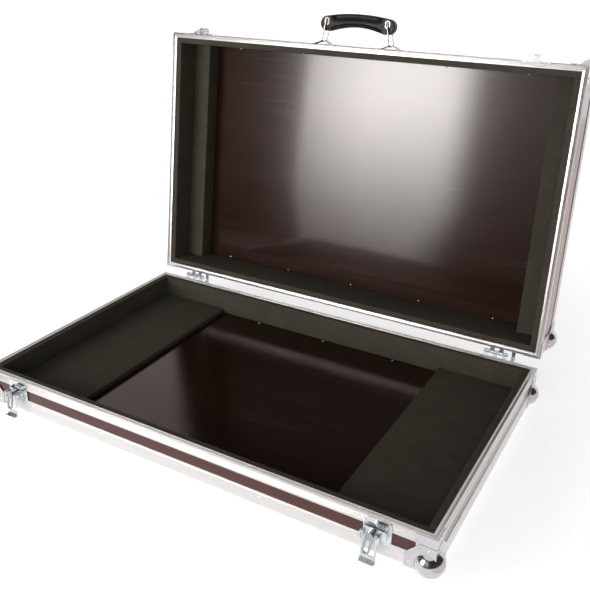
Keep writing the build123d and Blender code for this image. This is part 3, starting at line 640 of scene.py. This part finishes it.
lobe_at, lobe_out, lobe_radius = 0.067, 0.043, 0.015
arch_end, arch_top = 0.058, 0.064
web_half, web_end, web_top = 0.059, 0.028, 0.038
lobe_run = lobe_radius * np.sin(np.radians(np.linspace(-87, 0, 16)))
middle_run = np.linspace(-lobe_at, lobe_at, 91)[1:-1]
u = np.concatenate([-lobe_at + lobe_run, middle_run, (lobe_at - lobe_run)[::-1]])
lobe_reach = np.sqrt(np.clip(lobe_radius ** 2 - (np.abs(u) - lobe_at) ** 2, 0, None))
in_lobe = np.abs(u) >= lobe_at
top_line = np.where(in_lobe, lobe_out + lobe_reach, arc_height(u, lobe_at, arch_end, arch_top))
web_line = np.where(np.abs(u) > web_half, web_end, arc_height(u, web_half, web_end, web_top))
low_line = np.where(in_lobe, lobe_out - lobe_reach, web_line)
share = (1 - np.cos(np.linspace(0, math.pi, 45))) / 2
out = low_line[:, None] + share * (top_line - low_line)[:, None]
from_low, from_top = out - low_line[:, None], top_line[:, None] - out
round_in = lobe_radius - np.hypot(np.abs(u)[:, None] - lobe_at, out - lobe_out)
inward = np.where(in_lobe[:, None], round_in, np.minimum(from_low, from_top))
swell = (1 - smooth_step(from_top, 0.0055, 0.0165)) + (1 - smooth_step(from_low, 0.003, 0.0075))
swell *= 1 - smooth_step(np.abs(u), 0.042, 0.0580)[:, None]
web_edge, band_edge_more = 0.0018, 0.0017
web_thick, band_thick_more = 0.008, 0.004
edge = web_edge + band_edge_more * np.clip(swell, 0, 1)
half_thick = web_thick + band_thick_more * np.clip(swell, 0, 1)
half_thick = half_thick - edge + np.sqrt(np.clip(edge ** 2 - np.clip(edge - inward, 0, None) ** 2, 0, None))
print("grip grid", out.shape, "thickest", round(2 * float(half_thick.max()), 4))

# %% Make the grip and open its slots
grip_low, grip_high = lid_box("handle_grip")
grip_middle = (grip_low + grip_high) / 2
foot_y = grip_low[1] + arch_top
eyelet_low, eyelet_high = lid_box("handle_eyelets")
eyelet_out = foot_y - (eyelet_low[1] + eyelet_high[1]) / 2
slot_radius, slot_straight = 0.0043, 0.0025


def on_handle(along, outward, across):
    """Puts handle measures in the open lid: along the edge, out from the front wall, and across the grip."""
    shell_points = np.stack([along + grip_middle[0], foot_y - outward, across + grip_middle[2]], axis=-1)
    return in_lid(shell_points)


ring_u = np.repeat(u[:, None], 2 * len(share), axis=1)
ring_out = np.concatenate([out, out[:, ::-1]], axis=1)
ring_across = np.concatenate([half_thick, -half_thick[:, ::-1]], axis=1)
grip_rings = on_handle(ring_u, ring_out, ring_across)
grip = make_piece(
    "moulded_grip", [grip_rings], grip_plastic, "handle_grip", ["handle_grip"], sharp=60.0
)


def slot_cutter(at):
    """A bar with round ends through a lobe: a circle with its two halves moved apart by the straight part."""
    angle = np.linspace(0, 2 * math.pi, 41)[:-1]
    along = at + slot_radius * np.cos(angle)
    outward = eyelet_out + slot_radius * np.sin(angle) + slot_straight * np.sign(np.sin(angle))
    rings = [on_handle(along, outward, np.full(len(angle), across)) for across in (-0.02, 0.02)]
    return make_piece("slot_cutter", [np.stack(rings)], grip_plastic, "handle_grip")


cutters = [slot_cutter(side * lobe_at) for side in (-1, 1)]
for cutter in cutters:
    opening = grip.modifiers.new("slot", "BOOLEAN")
    opening.operation, opening.solver, opening.object = "DIFFERENCE", "EXACT", cutter
opened = bpy.data.meshes.new_from_object(grip.evaluated_get(bpy.context.evaluated_depsgraph_get()))
grip.modifiers.clear()
grip.data = opened
for cutter in cutters:
    bpy.data.objects.remove(cutter)
print("grip has", len(grip.data.polygons), "faces, slots at", round(eyelet_out, 4))

# %% [markdown]
# ## The handle's clips
# A clip is a strap of thin steel, pressed into a hump that holds the ring's foot. A solid hump would look
# heavy, because one looks under the real one. So it is a thin outline, carried across the strap's width: a
# crest line moved outward by the metal's thickness, and the same line moved inward by a little. The crest
# rises as a squared cosine, which leaves the feet flat and has no corner.

# %% Make the clips
clip_half, hump_half, hump_rise = 0.0265, 0.0245, 0.0075
clip_seat, clip_outward, clip_inward = 0.0005, 0.0013, 0.0002
run = np.linspace(-clip_half, clip_half, 61)
hump = np.where(np.abs(run) < hump_half, np.cos(np.clip(run / hump_half, -1, 1) * math.pi / 2) ** 2, 0)
for side in ("left", "right"):
    clip_node = "handle_clip_" + side
    clip_low, clip_high = lid_box(clip_node)
    crest = clip_high[1] - clip_seat - hump_rise * hump
    outline_y = np.concatenate([crest - clip_outward, crest[::-1] + clip_inward])
    outline_x = np.concatenate([run, run[::-1]]) + (clip_low[0] + clip_high[0]) / 2
    edges = (clip_low[2], clip_high[2])
    grid = np.stack([np.stack([outline_x, outline_y, np.full(len(outline_x), z)], axis=-1) for z in edges])
    # The strap's dark finish is partly painted shade, for the shade under its arch.
    strap = make_piece("clip_strap_" + side, [in_lid(grid)], shaded_clip_steel, "lid", [clip_node])
    print(strap.name, "crest", round(float(clip_high[1] - crest.min()), 4))

# %% [markdown]
# ## Floor and world
# The studio is a white sweep. The floor is a large pale sheet that catches the shadow, and the camera sees
# it a little lighter than it is, so that it runs into the white behind. The world is white too wherever it
# is seen or mirrored, and gives the object a softer, even light from all round.

# %% Lay the floor
def seen_or_mirrored(tree):
    """1 for rays that come from the camera or from a mirror or glass, and 0 for those that only light."""
    rays = tree.nodes.new("ShaderNodeLightPath")
    value = rays.outputs["Is Camera Ray"]
    for name in ("Is Glossy Ray", "Is Transmission Ray"):
        larger = tree.nodes.new("ShaderNodeMath")
        larger.operation = "MAXIMUM"
        tree.links.new(value, larger.inputs[0])
        tree.links.new(rays.outputs[name], larger.inputs[1])
        value = larger.outputs[0]
    return value


floor_finish, floor_shader = new_finish("floor_sheet", (0.82, 0.82, 0.82), 0.9)
floor_shader.inputs["Specular IOR Level"].default_value = 0.1
floor_shader.inputs["Emission Color"].default_value = (1, 1, 1, 1)
floor_place = add(floor_finish, "ShaderNodeTexCoord").outputs["Object"]
floor_reach = add(floor_finish, "ShaderNodeVectorMath", {0: floor_place}, operation="LENGTH").outputs["Value"]
floor_lift = ramp(floor_finish, floor_reach, 0.5, 1.6, 0.66, 1.0)
floor_glow = multiply(floor_finish, seen_or_mirrored(floor_finish.node_tree), floor_lift)
feed(floor_finish, floor_shader, "Emission Strength", floor_glow)
far = 20
sheet = bpy.data.meshes.new("floor_sheet")
sheet.from_pydata([(-far, -far, 0), (far, -far, 0), (far, far, 0), (-far, far, 0)], [], [(0, 1, 2, 3)])
sheet.materials.append(floor_finish)
floor = bpy.data.objects.new("floor_sheet", sheet)
bpy.context.scene.collection.objects.link(floor)
print("floor is", 2 * far, "m wide")

# %% Light the world
world = bpy.data.worlds.new("studio")
bpy.context.scene.world = world
world.use_nodes = True
sky = world.node_tree.nodes["Background"]
sky.inputs["Color"].default_value = (1, 1, 1, 1)
sky_light, sky_white = 0.16, 1.0
strength = world.node_tree.nodes.new("ShaderNodeMapRange")
strength.inputs["To Min"].default_value = sky_light
strength.inputs["To Max"].default_value = sky_white
world.node_tree.links.new(seen_or_mirrored(world.node_tree), strength.inputs["Value"])
world.node_tree.links.new(strength.outputs[0], sky.inputs["Strength"])
print("world lights with", sky_light, "and is seen as", sky_white)

# %% [markdown]
# ## Dark flags
# In an all-white room polished metal turns white and loses its shape. A photographer stands dark cards, or
# flags, round the camera, and the metal then shows them as dark shapes with crisp ends. Ours is a piece of a
# cylinder round the object, whose point at turn t and height z is (radius sin t, -radius cos t, z). Only
# mirror-like rays see it. It is darkest at the left, at the far right and at the top, and lightest near the
# middle. At the back left it ends, and there the base's floor mirrors the white room. Two more cards of the
# same finish lie on the floor, in front of the case and at its left.

# %% Helpers for cards
def card_finish(name, grey, glow):
    """A matt finish of one grey that shines in a colour, with the X, Y and Z of its points."""
    material, shader = new_finish(name, (grey, grey, grey), 1.0)
    shader.inputs["Specular IOR Level"].default_value = 0.0
    shader.inputs["Emission Color"].default_value = (*glow, 1)
    place = add(material, "ShaderNodeTexCoord").outputs["Object"]
    return material, shader, add(material, "ShaderNodeSeparateXYZ", {0: place}).outputs


def mirrored_sheet(name, points, finish):
    """A sheet through rows of points that only mirror-like rays see."""
    rows, columns = points.shape[:2]
    index = np.arange(rows * columns).reshape(rows, columns)
    faces = np.stack([index[:-1, :-1], index[1:, :-1], index[1:, 1:], index[:-1, 1:]], axis=-1).reshape(-1, 4)
    mesh = bpy.data.meshes.new(name)
    mesh.from_pydata(points.reshape(-1, 3).tolist(), [], faces.tolist())
    mesh.materials.append(finish)
    card = bpy.data.objects.new(name, mesh)
    bpy.context.scene.collection.objects.link(card)
    card.visible_camera = card.visible_diffuse = card.visible_shadow = card.visible_transmission = False
    print(name, "has", len(faces), "faces")


def level_card(name, x_ends, y_ends, z, finish):
    """A rectangle just over the floor."""
    points = np.stack(np.meshgrid(x_ends, y_ends, [z], indexing="ij"), axis=-1)[:, :, 0]
    mirrored_sheet(name, points, finish)


# %% Stand the flag
flag_finish, flag_shader, flag_place = card_finish("flag_card", 0.02, (1, 0.93, 0.91))
flag_right = ramp(flag_finish, flag_place["X"], -1.4, 0.2, 0.07, 0.38)
flag_top = ramp(flag_finish, flag_place["Z"], 1.2, 2.4, 1.0, 0.15)
flag_far_right = ramp(flag_finish, flag_place["X"], 0.5, 1.3, 1.0, 0.1)
flag_strength = multiply(flag_finish, flag_right, flag_far_right, flag_top)
feed(flag_finish, flag_shader, "Emission Strength", flag_strength)
flag_radius, flag_height = 3.3, 3.0
flag_turns = np.radians(np.linspace(-112, 125, 40))
turn, z = np.meshgrid(flag_turns, [0.0, flag_height], indexing="ij")
flag_points = np.stack([flag_radius * np.sin(turn), -flag_radius * np.cos(turn), z], axis=-1)
mirrored_sheet("flag_front", flag_points, flag_finish)

# %% [markdown]
# ## Lamps and the softbox
# The pale window in the lid's gloss is the picture of a softbox at the front left. It has a sharp left edge,
# fades slowly to the right and loses light toward the floor. The floor in front of it shines too, in a patch
# that fades toward the case. Its light is a little warm. A lamp in Blender is equally bright all over, so the
# lamps only give light, and a sheet with the softbox's gradient is what mirror-like rays see. A faintly pink
# card on the floor at the right gives the side profiles the blush that they have in the photo.

# %% Place the lamps
def soft_lamp(name, place, toward, width, height, radiance):
    """A rectangular lamp. Its power is its radiance times pi times its area."""
    lamp = bpy.data.lights.new(name, "AREA")
    lamp.shape = "RECTANGLE"
    lamp.size = width
    lamp.size_y = height
    lamp.energy = radiance * math.pi * width * height
    carrier = bpy.data.objects.new(name, lamp)
    bpy.context.scene.collection.objects.link(carrier)
    aim = Vector(toward) - Vector(place)
    carrier.matrix_world = Matrix.Translation(place) @ aim.to_track_quat("-Z", "Y").to_matrix().to_4x4()
    carrier.visible_glossy = False
    print(name, "power", round(lamp.energy, 1))


soft_lamp("lamp_front_left", (-1.2, -1.8, 0.7), (-0.3, 0.0, 0.2), 0.8, 0.9, 9.0)
soft_lamp("lamp_front", (-0.2, -3.0, 0.8), (0.0, 0.0, 0.3), 2.2, 1.2, 3.5)
soft_lamp("lamp_fill_right", (2.4, -1.6, 0.7), (0.0, 0.0, 0.4), 1.6, 1.2, 2.0)
soft_lamp("lamp_above", (0.3, -0.5, 3.0), (0.0, -0.1, 0.0), 2.0, 2.0, 0.3)

# %% Stand the softbox's face
def askew(material, place, slope):
    """X plus a slope times Y, in which a line over the floor that runs askew has one value."""
    links = {0: place["Y"], 1: slope, 2: place["X"]}
    return add(material, "ShaderNodeMath", links, operation="MULTIPLY_ADD").outputs[0]


box_finish, box_shader, box_place = card_finish("softbox_face", 0.0, (1, 0.955, 0.945))
box_from_left = askew(box_finish, box_place, -0.566)
box_from_right = askew(box_finish, box_place, -0.26)
box_edge = ramp(box_finish, box_from_left, -0.27, -0.255)
box_left = ramp(box_finish, box_from_left, -0.26, 0.16, 0.6, 1.0)
box_right = ramp(box_finish, box_from_right, -0.076, 0.084, 1.0, 0.035)
box_drop = ramp(box_finish, box_place["Z"], 0.0, 0.58, 0.34, 1.0)
box_floor = ramp(box_finish, box_place["Y"], -2.4, -0.5, 1.0, 0.4)
box_peak = 15.0
box_strength = multiply(box_finish, box_edge, box_left, box_right, box_drop, box_floor, box_peak)
feed(box_finish, box_shader, "Emission Strength", box_strength)
box_sides = np.array([-1.62, 0.6])
box_line = np.array([(-0.5, 0.006), (-2.4, 0.006), (-2.4, 1.35)])
box_points = np.stack(np.broadcast_arrays(box_sides[None, :], box_line[:, :1], box_line[:, 1:]), axis=-1)
mirrored_sheet("softbox_face", box_points, box_finish)

# %% Lay the cards on the floor
level_card("flag_floor", [-flag_radius, flag_radius], [-flag_radius, -0.5], 0.003, flag_finish)
level_card("flag_floor_left", [-flag_radius, -0.62], [-0.5, 0.25], 0.003, flag_finish)
# The pink card glows and only reflections see it: it paints a pink reflection, the blush, on the side
# profiles.
pink_reflection_finish, pink_reflection_shader, _ = card_finish("pink_reflection_card", 0.0, (0.86, 0.775, 0.755))
pink_reflection_shader.inputs["Emission Strength"].default_value = 1.0
level_card("pink_reflection_card", [0.47, 3.0], [-0.4, 3.0], 0.004, pink_reflection_finish)

# %% [markdown]
# ## The colour view
# The colour view is set to Standard, in which a colour renders as it is written.

# %% Finish
bpy.context.scene.view_settings.view_transform = "Standard"
